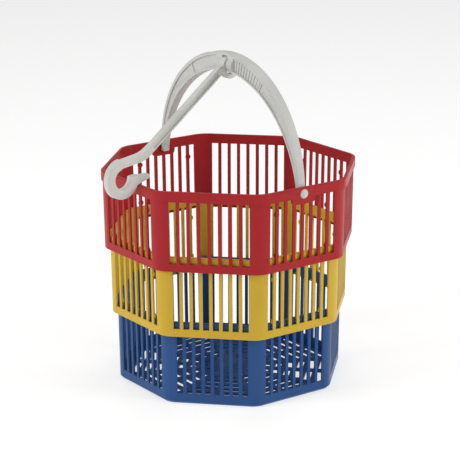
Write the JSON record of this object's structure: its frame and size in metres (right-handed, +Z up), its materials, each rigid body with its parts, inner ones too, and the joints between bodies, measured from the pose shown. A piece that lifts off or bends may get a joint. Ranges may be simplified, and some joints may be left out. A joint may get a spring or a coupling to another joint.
{
  "type": "shopping basket",
  "caption": "Octagonal slotted carrying basket in nesting tiers that slide down into each other, with a swinging arched bail and a hanging hook arm.",
  "frame": {"origin": "centre of the base's underside, on the surface that the basket stands on", "axes": "+Z up; the bail's pivots are on the X axis; the hook arm hangs toward -Y"},
  "size_m": [0.2744, 0.3123, 0.3655],
  "materials": {
    "blue_plastic": "moulded blue polypropylene, satin gloss",
    "yellow_plastic": "moulded yellow polypropylene, satin gloss",
    "red_plastic": "moulded red polypropylene, satin gloss",
    "handle_plastic": "moulded off-white plastic, fine matt",
    "hook_plastic": "moulded off-white plastic, fine matt",
    "rivet_plastic": "smooth white plastic"
  },
  "bodies": {
    "bottom": {"blue_bottom_tier": "blue_plastic", "blue_base_lattice": "blue_plastic"},
    "middle": {"yellow_middle_tier": "yellow_plastic"},
    "top": {"red_top_tier": "red_plastic", "pivot_rivets": "rivet_plastic"},
    "bail": {"bail_handle": "handle_plastic", "hook_pin": "handle_plastic"},
    "hook": {"hook_arm": "hook_plastic"}
  },
  "joints": [
    {"name": "middle_tier_slide", "type": "slide", "parent": "bottom", "child": "middle", "axis": [0, 0, -1], "range_m": [0, 0.076]},
    {"name": "top_tier_slide", "type": "slide", "parent": "middle", "child": "top", "axis": [0, 0, -1], "range_m": [0, 0.058]},
    {"name": "bail_pivot", "type": "hinge", "parent": "top", "child": "bail", "pos_m": [0, 0, 0.235], "axis": [-1, 0, 0], "range_deg": [0, 84]},
    {"name": "hook_swing", "type": "hinge", "parent": "bail", "child": "hook", "pos_m": [0, 0, 0.3493], "axis": [-0.9903, -0.1392, 0], "range_deg": [0, 45]}
  ]
}
